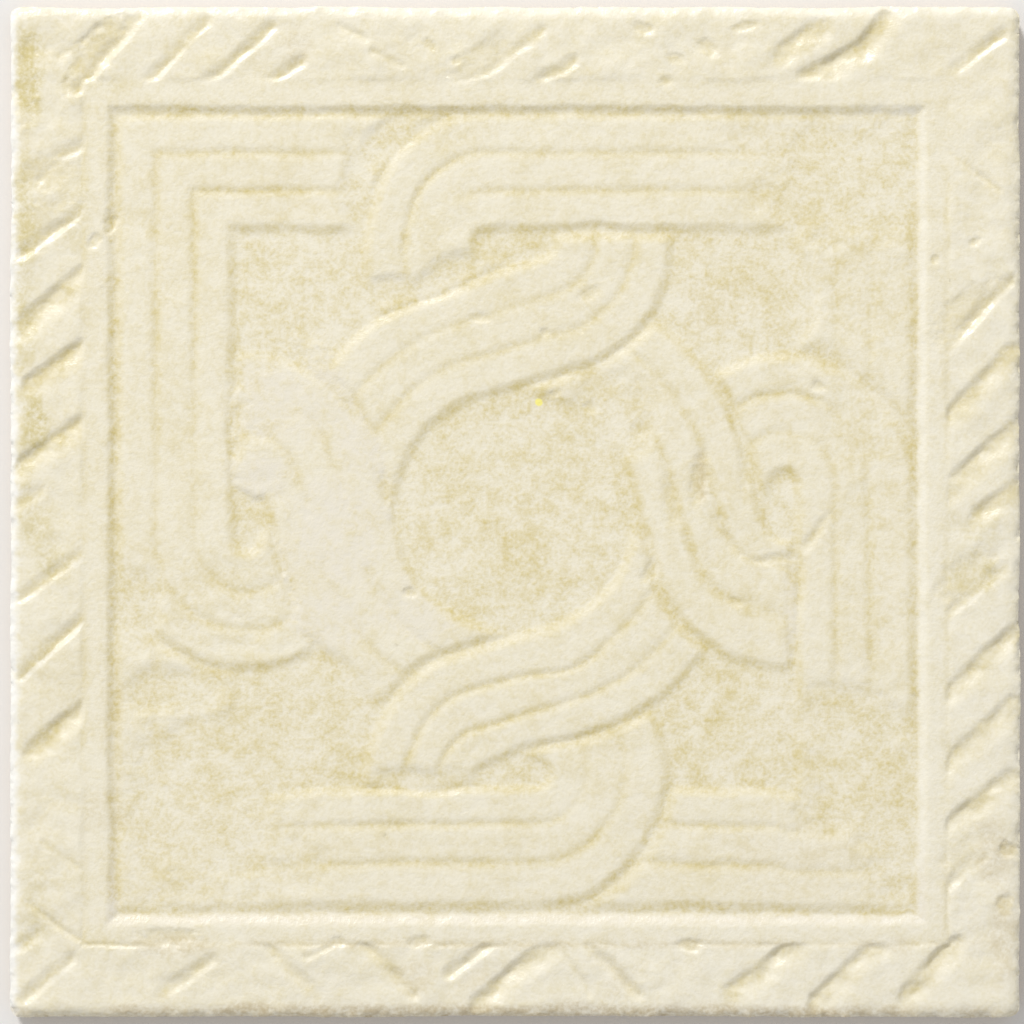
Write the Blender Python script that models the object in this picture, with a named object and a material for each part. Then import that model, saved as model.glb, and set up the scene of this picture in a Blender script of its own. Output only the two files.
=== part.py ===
"""A square decor tile, pressed and fired as one piece of ceramic.

The tile lies flat with its decorated face up. The origin is at the middle of its back, +Z is out of the
decorated face, and +Y is the top of the pattern. Four endless bands of three strands each run round a corner,
curl at the middle of two sides, and make a ring round the centre. Each band goes over one neighbour and under
the other. A plain raised frame and a rope of slanted turns run round the outside.
"""

import math

import bmesh
import bpy
from mathutils import Matrix, Vector

MM = 0.001

# The body
TILE_SIDE = 200 * MM
TILE_CORNER_RADIUS = 1.8 * MM
TILE_CORNER_STEPS = 3
FACE_HEIGHT = 8.0 * MM
EDGE_SLOPE_WIDTH = 2.2 * MM
EDGE_SLOPE_DROP = 1.3 * MM
EDGE_ROUND_DROP_SHARE = 0.4
EDGE_ROUND_WIDTH_SHARE = 0.3
BACK_EDGE_CHAMFER = 0.8 * MM

# The shallow channels in the back that hold the adhesive
CHANNEL_DEPTH = 0.5 * MM
CHANNEL_WIDTH = 9.0 * MM
CHANNEL_PITCH = 15.0 * MM
CHANNEL_LENGTH = 176.0 * MM
CHANNEL_COUNT = 12

# How far the raised shapes stand over the face, and how far their roots reach into the body
STRAND_RELIEF = 0.7 * MM
FRAME_RELIEF = 0.9 * MM
ROPE_RELIEF = 1.0 * MM
ROOT_DEPTH = 1.0 * MM
ROOT_HEIGHT = FACE_HEIGHT - ROOT_DEPTH
WORN_SINK = 0.25 * MM

# The raised frame between the rope and the field
FRAME_CENTRE = 83.0 * MM
FRAME_TOP_HALF_WIDTH = 1.6 * MM
FRAME_ROOT_HALF_WIDTH = 3.2 * MM

# The rope border: where its grooves reach the frame, along each side. The turns vary, as if cut by hand.
ROPE_INNER_EDGE = 86.7 * MM
ROPE_OUTER_EDGE = 97.6 * MM
ROPE_SLANT = math.radians(40)
ROPE_GROOVE_WIDTH = 0.7 * MM
ROPE_GROOVES_LEFT_MM = (-80.4, -66.5, -52.7, -38.8, -21.0, -9.1, 4.8, 18.6, 33.7, 47.5, 59.8, 73.7, 86.0)
ROPE_GROOVES_RIGHT_MM = (-88.5, -75.8, -62.0, -49.1, -35.2, -21.4, -8.5, 4.4, 18.6, 31.1, 44.4, 57.4, 70.7)
ROPE_GROOVES_TOP_MM = (-86.5, -73.7, -61.0, -49.5, -36.2, -22.8, -8.9, 4.4, 16.8, 29.9, 43.2, 55.8, 68.3, 79.5)
ROPE_GROOVES_BOTTOM_MM = (-80.8, -67.9, -55.0, -42.6, -29.7, -16.8, -4.4, 6.5, 18.8, 30.7, 42.6, 55.0, 71.9, 86.5)

# The share of a turn's relief, across it from groove to groove, and along it from the frame to the edge
TURN_SECTION = ((0.0, 0.0), (0.17, 0.75), (0.5, 1.0), (0.83, 0.75), (1.0, 0.0))
TURN_LENGTH = ((0.0, 0.0), (0.12, 1.0), (0.86, 1.0), (1.0, 0.0))

# A corner pad's sides: the share of its outline and its height over the face, from its foot to its top
PAD_SIDES = ((1.0, -ROOT_DEPTH), (0.93, 0.0), (0.72, 0.8 * ROPE_RELIEF))

# The interlaced bands
STRAND_PITCH = 7.6 * MM
STRANDS = (STRAND_PITCH, 0.0, -STRAND_PITCH)
STRAND_TOP_HALF_WIDTH = 2.6 * MM
STRAND_ROOT_HALF_WIDTH = 3.6 * MM
BAND_LINE = 67.4 * MM
LOOP_RADIUS = 14.2 * MM
LOOP_SIDEWAYS = 5.4 * MM
RING_RADIUS = 35.3 * MM
CROSSING_GAP = 0.6 * MM
COVERING_STRAIGHT = 39.4 * MM
COVERING_RING_ANGLE = math.radians(44)
STRAIGHT_STEP = 12.0 * MM
ARC_STEP = math.radians(15)

# Worn places: their middle, their radius and the share of the relief that is gone at the middle
WORN_PLACES_MM = (
    (66, 64, 27, 1.0),
    (72, -46, 24, 0.8),
    (66, -66, 22, 1.0),
    (-62, -62, 34, 1.0),
    (-64, -30, 14, 0.9),
    (-26, -30, 16, 0.8),
    (-46, -2, 9, 0.7),
    (76, 16, 16, 0.5),
    (-25, 92, 15, 0.6),
    (34, 92, 18, 0.7),
    (93, 62, 24, 0.8),
    (-60, -92, 30, 0.7),
    (24, -92, 16, 0.7),
    (-92, -68, 18, 0.7),
)

# The glazed surface
GLAZE_COLOUR = (0.84, 0.77, 0.58, 1.0)
GLAZE_ROUGHNESS = 0.42


def clear_scene():
    """Remove every object that is in the scene."""
    for obj in list(bpy.data.objects):
        bpy.data.objects.remove(obj, do_unlink=True)


def glaze_material():
    """Make the ivory glaze that covers the whole tile."""
    material = bpy.data.materials.new("ivory_glaze")
    material.use_nodes = True
    shader = material.node_tree.nodes["Principled BSDF"]
    shader.inputs["Base Color"].default_value = GLAZE_COLOUR
    shader.inputs["Roughness"].default_value = GLAZE_ROUGHNESS
    shader.inputs["Metallic"].default_value = 0.0
    material.diffuse_color = GLAZE_COLOUR
    return material


def finished_object(name, bm):
    """Turn a bmesh into an object whose faces point out, with its four-sided faces cut into triangles."""
    bmesh.ops.recalc_face_normals(bm, faces=bm.faces)
    bmesh.ops.triangulate(bm, faces=[face for face in bm.faces if len(face.verts) == 4])
    mesh = bpy.data.meshes.new(name)
    bm.to_mesh(mesh)
    bm.free()
    obj = bpy.data.objects.new(name, mesh)
    bpy.context.scene.collection.objects.link(obj)
    return obj


def helper(obj):
    """Mark an object as a shape that only serves a Boolean."""
    obj.hide_render = True
    obj.display_type = "WIRE"
    return obj


def add_boolean(obj, other, operation):
    """Add an exact Boolean of other to obj."""
    modifier = obj.modifiers.new(other.name, "BOOLEAN")
    modifier.object = other
    modifier.operation = operation
    modifier.solver = "EXACT"


def relief_left(place):
    """The share of the relief that wear has left at a place on the face, from 1 down to 0."""
    left = 1.0
    for middle_x, middle_y, radius, gone in WORN_PLACES_MM:
        reach = math.hypot(place.x / MM - middle_x, place.y / MM - middle_y) / radius
        if reach < 1.0:
            left *= 1.0 - gone * math.sqrt(1.0 - reach**2)
    return left


def raised_height(place, relief, share=1.0):
    """The height of a raised shape at a place. Where none of it is left, it ends just inside the body."""
    left = relief_left(place) * share
    return FACE_HEIGHT + relief * left - WORN_SINK * (1.0 - left)


def level(height):
    """The height rule of a section's corner that keeps one height everywhere."""
    return lambda place: height


def join_rings(bm, rings, closed):
    """Skin a row of rings of vertices into one solid, either closed on itself or with two caps."""
    count = len(rings[0])
    pairs = list(zip(rings, rings[1:]))
    if closed:
        pairs.append((rings[-1], rings[0]))
    for first, second in pairs:
        for i in range(count):
            j = (i + 1) % count
            bm.faces.new((first[i], first[j], second[j], second[i]))
    if not closed:
        bm.faces.new(reversed(rings[0]))
        bm.faces.new(rings[-1])


def sweep(bm, stations, section, closed):
    """Run a section along stations. The section lists a distance to the left and a height rule for each corner."""
    rings = []
    for point, left in stations:
        ring = []
        for sideways, height_at in section:
            place = point + left * sideways
            ring.append(bm.verts.new((place.x, place.y, height_at(place))))
        rings.append(ring)
    join_rings(bm, rings, closed)


def raised_section(middle, root_half_width, top_half_width, top_height):
    """The four-cornered section of a flat-topped shape whose middle lies to the left of its route."""
    return (
        (middle - root_half_width, level(ROOT_HEIGHT)),
        (middle + root_half_width, level(ROOT_HEIGHT)),
        (middle + top_half_width, top_height),
        (middle - top_half_width, top_height),
    )


def body():
    """Make the pressed slab, from its back to the face, with soft top edges."""
    half = TILE_SIDE / 2
    levels = (
        (0.0, BACK_EDGE_CHAMFER),
        (BACK_EDGE_CHAMFER, 0.0),
        (FACE_HEIGHT - EDGE_SLOPE_DROP, 0.0),
        (FACE_HEIGHT - EDGE_SLOPE_DROP * EDGE_ROUND_DROP_SHARE, EDGE_SLOPE_WIDTH * EDGE_ROUND_WIDTH_SHARE),
        (FACE_HEIGHT, EDGE_SLOPE_WIDTH),
    )
    bm = bmesh.new()
    rings = []
    for height, inset in levels:
        outline = rounded_square(half - inset)
        rings.append([bm.verts.new((point.x, point.y, height)) for point in outline])
    join_rings(bm, rings, closed=False)
    return finished_object("decor_tile", bm)


def rounded_square(half):
    """The outline of a square with rounded corners, counter-clockwise from its right side."""
    outline = []
    middle = Vector((half - TILE_CORNER_RADIUS, half - TILE_CORNER_RADIUS))
    for quarter in range(4):
        turn = Matrix.Rotation(math.radians(90 * quarter), 2)
        for step in range(TILE_CORNER_STEPS + 1):
            angle = math.radians(90 * step / TILE_CORNER_STEPS)
            corner = middle + TILE_CORNER_RADIUS * Vector((math.cos(angle), math.sin(angle)))
            outline.append(turn @ corner)
    return outline


def back_channels():
    """Make the straight channels, with closed ends, that are pressed into the back."""
    bm = bmesh.new()
    size = Matrix.Diagonal((CHANNEL_WIDTH, CHANNEL_LENGTH, 2 * CHANNEL_DEPTH, 1.0))
    for number in range(CHANNEL_COUNT):
        middle = (number - (CHANNEL_COUNT - 1) / 2) * CHANNEL_PITCH
        bmesh.ops.create_cube(bm, size=1.0, matrix=Matrix.Translation((middle, 0.0, 0.0)) @ size)
    return helper(finished_object("back_channels", bm))


class Route:
    """A line of straights and arcs on the face, kept as stations of a point and its left-hand normal."""

    def __init__(self, start, heading):
        self.point = Vector(start)
        self.heading = heading
        self.stations = []
        self.mark()

    def left(self):
        return Vector((-math.sin(self.heading), math.cos(self.heading)))

    def mark(self):
        self.stations.append((self.point.copy(), self.left()))

    def straight(self, length):
        count = max(1, round(length / STRAIGHT_STEP))
        ahead = Vector((math.cos(self.heading), math.sin(self.heading)))
        for _ in range(count):
            self.point += ahead * length / count
            self.mark()

    def arc(self, radius, angle):
        """Turn left by a positive angle or right by a negative one."""
        side = math.copysign(1.0, angle)
        middle = self.point + side * radius * self.left()
        count = max(1, round(abs(angle) / ARC_STEP))
        for _ in range(count):
            self.heading += angle / count
            self.point = middle - side * radius * self.left()
            self.mark()


def loop_to_ring():
    """The angle that a band turns in a loop, and its straight from the loop to the ring: their inner tangent."""
    loop_height = BAND_LINE - LOOP_RADIUS
    distance = math.hypot(LOOP_SIDEWAYS, loop_height)
    reach = LOOP_RADIUS + RING_RADIUS
    turn = math.pi / 2 + math.atan2(LOOP_SIDEWAYS, loop_height) + math.asin(reach / distance)
    return turn, math.sqrt(distance**2 - reach**2)


def band_route():
    """The middle line of the top left band: along the top, loop, ring, loop, and back up the left side."""
    turn, tangent = loop_to_ring()
    route = Route((-BAND_LINE, BAND_LINE), 0.0)
    route.straight(BAND_LINE + LOOP_SIDEWAYS)
    route.arc(LOOP_RADIUS, -turn)
    route.straight(tangent)
    route.arc(RING_RADIUS, 2 * turn - math.radians(270))
    route.straight(tangent)
    route.arc(LOOP_RADIUS, -turn)
    route.straight(BAND_LINE + LOOP_SIDEWAYS)
    # The route ends at its own start, so one mitred station stands for both.
    corner, first_left = route.stations[0]
    last_left = route.stations[-1][1]
    return [(corner, first_left + last_left)] + route.stations[1:-1]


def upper_crossing_route():
    """Where the top left band lies over its right-hand neighbour: out of its top loop and into the ring."""
    turn, tangent = loop_to_ring()
    loop_middle = Vector((LOOP_SIDEWAYS, BAND_LINE - LOOP_RADIUS))
    route = Route(loop_middle + Vector((LOOP_RADIUS, 0.0)), math.radians(-90))
    route.arc(LOOP_RADIUS, math.radians(90) - turn)
    route.straight(tangent)
    route.arc(RING_RADIUS, COVERING_RING_ANGLE)
    return route.stations


def lower_crossing_route():
    """Where the top left band lies over its left-hand neighbour: round its left loop and up the left side."""
    loop_middle = Vector((LOOP_RADIUS - BAND_LINE, -LOOP_SIDEWAYS))
    route = Route(loop_middle - Vector((0.0, LOOP_RADIUS)), math.radians(180))
    route.arc(LOOP_RADIUS, math.radians(-90))
    route.straight(COVERING_STRAIGHT)
    return route.stations


def turned(stations, quarters):
    """Stations turned about the tile's centre by quarter turns to the left."""
    turn = Matrix.Rotation(math.radians(90 * quarters), 2)
    return [(turn @ point, turn @ left) for point, left in stations]


def crossing_clearance(name, stations):
    """Make the space that a band clears for itself in the band under it."""
    half_width = STRAND_PITCH + STRAND_ROOT_HALF_WIDTH + CROSSING_GAP
    below = level(FACE_HEIGHT - 2 * ROOT_DEPTH)
    above = level(FACE_HEIGHT + 2 * ROOT_DEPTH)
    section = ((-half_width, below), (half_width, below), (half_width, above), (-half_width, above))
    bm = bmesh.new()
    sweep(bm, stations, section, closed=False)
    return helper(finished_object(name, bm))


def band(quarters):
    """Make one endless band of three strands, cut where its two neighbours go over it."""

    def top_height(place):
        return raised_height(place, STRAND_RELIEF)

    stations = turned(band_route(), quarters)
    bm = bmesh.new()
    for middle in STRANDS:
        section = raised_section(middle, STRAND_ROOT_HALF_WIDTH, STRAND_TOP_HALF_WIDTH, top_height)
        sweep(bm, stations, section, closed=True)
    strands = helper(finished_object(f"band_{quarters}", bm))
    over_its_top = crossing_clearance(f"over_top_{quarters}", turned(lower_crossing_route(), quarters - 1))
    over_its_left = crossing_clearance(f"over_left_{quarters}", turned(upper_crossing_route(), quarters + 1))
    add_boolean(strands, over_its_top, "DIFFERENCE")
    add_boolean(strands, over_its_left, "DIFFERENCE")
    return strands


def frame():
    """Make the plain raised frame, mitred at its corners."""
    corners = []
    for quarter in range(4):
        turn = Matrix.Rotation(math.radians(90 * quarter), 2)
        corners.append((turn @ Vector((FRAME_CENTRE, FRAME_CENTRE)), turn @ Vector((1.0, 1.0))))
    bm = bmesh.new()
    top = level(FACE_HEIGHT + FRAME_RELIEF)
    sweep(bm, corners, raised_section(0.0, FRAME_ROOT_HALF_WIDTH, FRAME_TOP_HALF_WIDTH, top), closed=True)
    return helper(finished_object("frame", bm))


def side_grooves(positions_mm, along, outward):
    """The grooves of one side of the rope, each as its end at the frame and its end at the tile's edge."""
    slant = Vector((math.cos(ROPE_SLANT), math.sin(ROPE_SLANT)))
    run = slant * (ROPE_OUTER_EDGE - ROPE_INNER_EDGE) / slant.dot(outward)
    starts = [outward * ROPE_INNER_EDGE + along * position * MM for position in positions_mm]
    return [(start, start + run) for start in starts]


def rope_turn(bm, first, second):
    """Add one turn of the rope, a softly crowned pad between two grooves."""
    spacing = ((second[0] - first[0]).length + (second[1] - first[1]).length) / 2
    groove_share = ROPE_GROOVE_WIDTH / 2 / spacing
    rows = []
    for along, length_share in TURN_LENGTH:
        start = first[0].lerp(first[1], along)
        end = second[0].lerp(second[1], along)
        row = []
        for across, section_share in TURN_SECTION:
            place = start.lerp(end, groove_share + (1.0 - 2 * groove_share) * across)
            height = raised_height(place, ROPE_RELIEF, length_share * section_share)
            row.append(bm.verts.new((place.x, place.y, height)))
        feet = [bm.verts.new((row[i].co.x, row[i].co.y, ROOT_HEIGHT)) for i in (-1, 0)]
        rows.append(row + feet)
    join_rings(bm, rows, closed=False)


def corner_pad(bm, outline):
    """Add a low pad with sloping sides that fills a corner of the rope."""
    middle = sum(outline, Vector((0.0, 0.0))) / len(outline)
    rings = []
    for outline_share, rise in PAD_SIDES:
        places = [middle.lerp(point, outline_share) for point in outline]
        rings.append([bm.verts.new((place.x, place.y, FACE_HEIGHT + rise)) for place in places])
    join_rings(bm, rings, closed=False)


def rope():
    """Make the rope border. All its turns slant the same way, so they meet the corners in two ways."""
    right = Vector((1.0, 0.0))
    up = Vector((0.0, 1.0))
    low_mitre = (-(right + up) * ROPE_INNER_EDGE, -(right + up) * ROPE_OUTER_EDGE)
    high_mitre = ((right + up) * ROPE_INNER_EDGE, (right + up) * ROPE_OUTER_EDGE)
    left_side = [low_mitre] + side_grooves(ROPE_GROOVES_LEFT_MM, up, -right)
    right_side = side_grooves(ROPE_GROOVES_RIGHT_MM, up, right) + [high_mitre]
    top_side = side_grooves(ROPE_GROOVES_TOP_MM, right, up) + [high_mitre]
    bottom_side = [low_mitre] + side_grooves(ROPE_GROOVES_BOTTOM_MM, right, -up)
    bm = bmesh.new()
    for grooves in (left_side, right_side, top_side, bottom_side):
        for first, second in zip(grooves, grooves[1:]):
            rope_turn(bm, first, second)
    corner_pad(bm, (left_side[-1][1], top_side[0][1], (up - right) * ROPE_OUTER_EDGE))
    corner_pad(bm, (right_side[0][1], bottom_side[-1][1], (right - up) * ROPE_OUTER_EDGE))
    return helper(finished_object("rope", bm))


def main():
    """Build the tile as one solid."""
    clear_scene()
    tile = body()
    tile.data.materials.append(glaze_material())
    add_boolean(tile, back_channels(), "DIFFERENCE")
    add_boolean(tile, frame(), "UNION")
    add_boolean(tile, rope(), "UNION")
    for quarters in range(4):
        add_boolean(tile, band(quarters), "UNION")


main()
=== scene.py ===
"""The looks of a square decor tile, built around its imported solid.

The tile lies flat, face up. Its face is worked out as one height rule in Geometry Nodes: four bands of
three strands that go over and under each other, a plain raised frame, a rope of slanted turns and a soft
outer edge, all worn, filled and lumpy in the places where the real one is. The walls follow from the same
outline, and the back has the same shallow channels as the solid.
"""

import logging
import math
from dataclasses import dataclass
from enum import Enum
from typing import Union

import bmesh
import bpy
from mathutils import Matrix, Vector


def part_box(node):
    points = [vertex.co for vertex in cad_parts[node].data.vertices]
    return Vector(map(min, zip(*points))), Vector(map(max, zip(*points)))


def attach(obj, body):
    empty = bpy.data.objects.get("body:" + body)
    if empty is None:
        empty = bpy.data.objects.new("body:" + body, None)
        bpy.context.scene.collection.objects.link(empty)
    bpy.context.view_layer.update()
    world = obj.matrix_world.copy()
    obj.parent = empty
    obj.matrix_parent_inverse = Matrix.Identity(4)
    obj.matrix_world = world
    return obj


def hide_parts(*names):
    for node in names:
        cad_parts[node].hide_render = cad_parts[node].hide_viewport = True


MM = 0.001
NODE = "decor_tile"
BODY = "root"
SLOT = "ivory_glaze"

# The notes that the height rule keeps on the face, for the glaze to read; several carry painted light or
# shade
# Tan grain in grooves, seams, dents and the strands' sides, deepened there as painted shade, and strongest
# on the frame's upper and left inner slopes, which face away from the light
HOLLOW_GRAIN_AND_SHADE = "hollow_grain_and_shade"
RAISED = "raised"
# Real thick glaze in the coated patches, and painted shade on the frame's lower inner slope, which faces
# the light
COATED = "coated"
# Painted highlight: white on the lit lips of the rope's grooves and on the frame's right-hand inner slope,
# which face the light
PAINTED_HIGHLIGHT = "painted_highlight"
# Painted highlight: how far a surface faces the light, up and to the left; the glaze takes grain off it by
# that much
LIT = "lit"
OCHRE = "ochre"
# Brown stains, and painted shade on the frame's left inner slope, in a slot of the curl and on the frame's
# lower inner slope
DIRTY = "dirty"

log = logging.getLogger("decor_tile")

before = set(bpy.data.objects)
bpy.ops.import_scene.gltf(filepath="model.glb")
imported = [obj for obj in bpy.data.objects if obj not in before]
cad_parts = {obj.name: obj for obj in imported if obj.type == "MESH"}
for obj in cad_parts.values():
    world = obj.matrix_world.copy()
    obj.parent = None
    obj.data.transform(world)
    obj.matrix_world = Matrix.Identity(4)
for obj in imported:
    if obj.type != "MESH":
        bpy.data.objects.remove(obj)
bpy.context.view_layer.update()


# Sums made with nodes

Number = Union["Term", float]


def feed(value: Number, socket: bpy.types.NodeSocket) -> None:
    """Give a socket its value.

    Args:
        value: A term to link, or a plain number or vector to set.
        socket: The input socket.
    """
    if isinstance(value, Term):
        value.tree.links.new(value.socket, socket)
    else:
        socket.default_value = value


@dataclass(frozen=True)
class Term:
    """One value in a node tree, which sums can be made with as with a number."""

    tree: bpy.types.NodeTree
    socket: bpy.types.NodeSocket

    def math(self, operation: str, *others: Number) -> "Term":
        """Add a math node.

        Args:
            operation: Blender's name for the sum.
            others: The values after this one.

        Returns:
            The result.
        """
        node = self.tree.nodes.new("ShaderNodeMath")
        node.operation = operation
        for value, socket in zip((self, *others), node.inputs):
            feed(value, socket)
        return Term(self.tree, node.outputs[0])

    def __add__(self, other: Number) -> "Term":
        """Add a number."""
        return self.math("ADD", other)

    def __sub__(self, other: Number) -> "Term":
        """Take a number away."""
        return self.math("SUBTRACT", other)

    def __rsub__(self, other: float) -> "Term":
        """Take this from a plain number."""
        return (self * -1.0) + other

    def __mul__(self, other: Number) -> "Term":
        """Multiply by a number."""
        return self.math("MULTIPLY", other)

    def __truediv__(self, other: Number) -> "Term":
        """Divide by a number."""
        return self.math("DIVIDE", other)

    __radd__ = __add__
    __rmul__ = __mul__

    def size(self) -> "Term":
        """The value without its sign."""
        return self.math("ABSOLUTE")

    def sign(self) -> "Term":
        """Minus one, nought or one."""
        return self.math("SIGN")

    def root(self) -> "Term":
        """The square root."""
        return self.math("SQRT")

    def at_least(self, other: Number) -> "Term":
        """The greater of two values."""
        return self.math("MAXIMUM", other)

    def at_most(self, other: Number) -> "Term":
        """The smaller of two values."""
        return self.math("MINIMUM", other)

    def share(self) -> "Term":
        """The value kept between nought and one."""
        return self.at_least(0.0).at_most(1.0)

    def climb(self, low: Number, high: Number) -> "Term":
        """A soft step.

        Args:
            low: Where the step starts, at nought.
            high: Where it ends, at one.

        Returns:
            The share of the step that is climbed.
        """
        node = self.tree.nodes.new("ShaderNodeMapRange")
        node.interpolation_type = "SMOOTHSTEP"
        for value, socket in zip((self, low, high, 0.0, 1.0), node.inputs):
            feed(value, socket)
        return Term(self.tree, node.outputs[0])

    def between(self, none: Number, full: Number) -> "Term":
        """Go from one value to another as this goes from nought to one."""
        return self * (full - none) + none

    def halfway(self) -> "Term":
        """One where this is a half, and nought where it is nought or one."""
        return self * 4.0 * (1.0 - self)


def both(first: Term, second: Term) -> Term:
    """The length of a vector from its two parts."""
    return (first * first + second * second).root()


def vector(x: Term, y: Number, z: Number = 0.0) -> Term:
    """Put values together as one vector.

    Args:
        x: Its first part.
        y: Its second part.
        z: Its third part.

    Returns:
        The vector.
    """
    node = x.tree.nodes.new("ShaderNodeCombineXYZ")
    for value, socket in zip((x, y, z), node.inputs):
        feed(value, socket)
    return Term(x.tree, node.outputs[0])


def parts(place: Term) -> tuple[Term, ...]:
    """Take a vector apart.

    Args:
        place: The vector.

    Returns:
        Its three parts.
    """
    node = place.tree.nodes.new("ShaderNodeSeparateXYZ")
    feed(place, node.inputs[0])
    return tuple(Term(place.tree, socket) for socket in node.outputs)


def vector_sum(operation: str, first: Term, second: Number | tuple[float, float, float]) -> Term:
    """Add or take away a vector.

    Args:
        operation: Blender's name for the sum.
        first: The first vector.
        second: The second one, as a term or as plain numbers.

    Returns:
        The resulting vector.
    """
    node = first.tree.nodes.new("ShaderNodeVectorMath")
    node.operation = operation
    feed(first, node.inputs[0])
    feed(second, node.inputs[1])
    return Term(first.tree, node.outputs[0])


def noise(place: Term, grain: float, seed: Number, detail: float, roughness: float) -> Term:
    """A noise that mostly runs from about minus a half to a half.

    Args:
        place: Where it is read, in metres.
        grain: The size of its largest lumps, in metres.
        seed: Which noise it is.
        detail: How many finer layers it has.
        roughness: How strong those layers are.

    Returns:
        The noise's value.
    """
    node = place.tree.nodes.new("ShaderNodeTexNoise")
    step = seed if isinstance(seed, Term) else (seed, seed, seed)
    feed(vector_sum("ADD", place, step), node.inputs["Vector"])
    feed(1.0 / grain, node.inputs["Scale"])
    feed(detail, node.inputs["Detail"])
    feed(roughness, node.inputs["Roughness"])
    return (Term(place.tree, node.outputs[0]) - 0.5) * 3.0


class SoftPlace:
    """A node group that measures how far a point lies inside a soft-edged oval."""

    INPUTS = {
        "Place": "NodeSocketVector",
        "Middle": "NodeSocketVector",
        "Half Length": "NodeSocketFloat",
        "Half Width": "NodeSocketFloat",
        "Turn": "NodeSocketFloat",
        "Softness": "NodeSocketFloat",
        "Ragged": "NodeSocketFloat",
    }

    def __init__(self) -> None:
        """Make the group."""
        self.group = bpy.data.node_groups.new("soft_place", "GeometryNodeTree")
        for name, socket_type in self.INPUTS.items():
            self.group.interface.new_socket(name, in_out="INPUT", socket_type=socket_type)
        self.group.interface.new_socket("Share", in_out="OUTPUT", socket_type="NodeSocketFloat")
        inputs = self.group.nodes.new("NodeGroupInput")
        place, middle, half_length, half_width, turn, softness, ragged = (
            Term(self.group, inputs.outputs[name]) for name in self.INPUTS
        )
        away_x, away_y, _ = parts(vector_sum("SUBTRACT", place, middle))
        cosine = turn.math("COSINE")
        sine = turn.math("SINE")
        along = (away_x * cosine + away_y * sine) / half_length
        across = (away_y * cosine - away_x * sine) / half_width
        distance = both(along, across) + ragged
        share = 1.0 - distance.climb(1.0 - softness, 1.0 + softness * 0.25)
        feed(share, self.group.nodes.new("NodeGroupOutput").inputs[0])

    def at(self, place: Term, patch: "Patch", ragged: Number) -> Term:
        """Measure one patch.

        Args:
            place: The point, in metres.
            patch: The oval.
            ragged: A noise that breaks its outline up.

        Returns:
            Nought outside, one in the middle.
        """
        node = place.tree.nodes.new("GeometryNodeGroup")
        node.node_tree = self.group
        values = {
            "Place": place,
            "Middle": (patch.x * MM, patch.y * MM, 0.0),
            "Half Length": patch.half_length * MM,
            "Half Width": patch.half_width * MM,
            "Turn": math.radians(patch.turn),
            "Softness": patch.softness,
            "Ragged": ragged,
        }
        for name, value in values.items():
            feed(value, node.inputs[name])
        return Term(place.tree, node.outputs[0])


def placed(name: str, data: bpy.types.ID) -> bpy.types.Object:
    """Put a new object into the scene.

    Args:
        name: The object's name.
        data: Its mesh, light or camera.

    Returns:
        The object.
    """
    obj = bpy.data.objects.new(name, data)
    bpy.context.scene.collection.objects.link(obj)
    return obj


# The pattern's lines


@dataclass(frozen=True)
class Pattern:
    """The layout of the face, in metres from the tile's centre."""

    half_side: float
    strand_pitch: float = 7.6 * MM
    band_line: float = 67.4 * MM
    loop_radius: float = 14.2 * MM
    loop_sideways: float = 5.4 * MM
    ring_radius: float = 35.3 * MM
    frame_foot: float = 79.05 * MM
    frame_top: float = 81.65 * MM
    frame_aside: tuple[float, float] = (0.4 * MM, -0.7 * MM)
    rope_line: float = 85.4 * MM
    covering_straight: float = 39.4 * MM

    def loop_to_ring(self) -> tuple[float, float]:
        """Work out how a band goes from its loop to the ring.

        Returns:
            The angle that it turns in the loop, and the length of its straight to the ring.
        """
        loop_height = self.band_line - self.loop_radius
        distance = math.hypot(self.loop_sideways, loop_height)
        reach = self.loop_radius + self.ring_radius
        turn = math.pi / 2 + math.atan2(self.loop_sideways, loop_height) + math.asin(reach / distance)
        return turn, math.sqrt(distance**2 - reach**2)


class Route:
    """A line of straights and arcs on the face."""

    ARC_STEP = math.radians(3)

    def __init__(self, start: tuple[float, float] | Vector, heading: float) -> None:
        """Start a line.

        Args:
            start: Its first point, in metres.
            heading: Its direction there, in radians from +X.
        """
        self.point = Vector(start)
        self.heading = heading
        self.points = [self.point.copy()]

    def left(self) -> Vector:
        """The direction to the left of the line."""
        return Vector((-math.sin(self.heading), math.cos(self.heading)))

    def straight(self, length: float) -> None:
        """Go straight on."""
        self.point = self.point + length * Vector((math.cos(self.heading), math.sin(self.heading)))
        self.points.append(self.point.copy())

    def arc(self, radius: float, angle: float) -> None:
        """Go round an arc.

        Args:
            radius: The arc's radius.
            angle: How far it turns, to the left if positive and to the right if negative.
        """
        side = math.copysign(1.0, angle)
        middle = self.point + side * radius * self.left()
        count = max(1, round(abs(angle) / self.ARC_STEP))
        for _ in range(count):
            self.heading += angle / count
            self.point = middle - side * radius * self.left()
            self.points.append(self.point.copy())


def band_line(pattern: Pattern) -> list[Vector]:
    """Draw the top left band's middle line.

    Args:
        pattern: The layout of the face.

    Returns:
        The points of the closed line, from the band's corner along the top.
    """
    turn, tangent = pattern.loop_to_ring()
    route = Route((-pattern.band_line, pattern.band_line), 0.0)
    route.straight(pattern.band_line + pattern.loop_sideways)
    route.arc(pattern.loop_radius, -turn)
    route.straight(tangent)
    route.arc(pattern.ring_radius, 2 * turn - math.radians(270))
    route.straight(tangent)
    route.arc(pattern.loop_radius, -turn)
    route.straight(pattern.band_line + pattern.loop_sideways)
    return route.points


def route_from_loop(pattern: Pattern, middle: Vector, angle: float) -> Route:
    """Start a line on a loop, at an angle from the loop's middle, that will go round to the right."""
    spoke = Vector((math.cos(angle), math.sin(angle)))
    return Route(middle + pattern.loop_radius * spoke, angle - math.radians(90))


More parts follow.
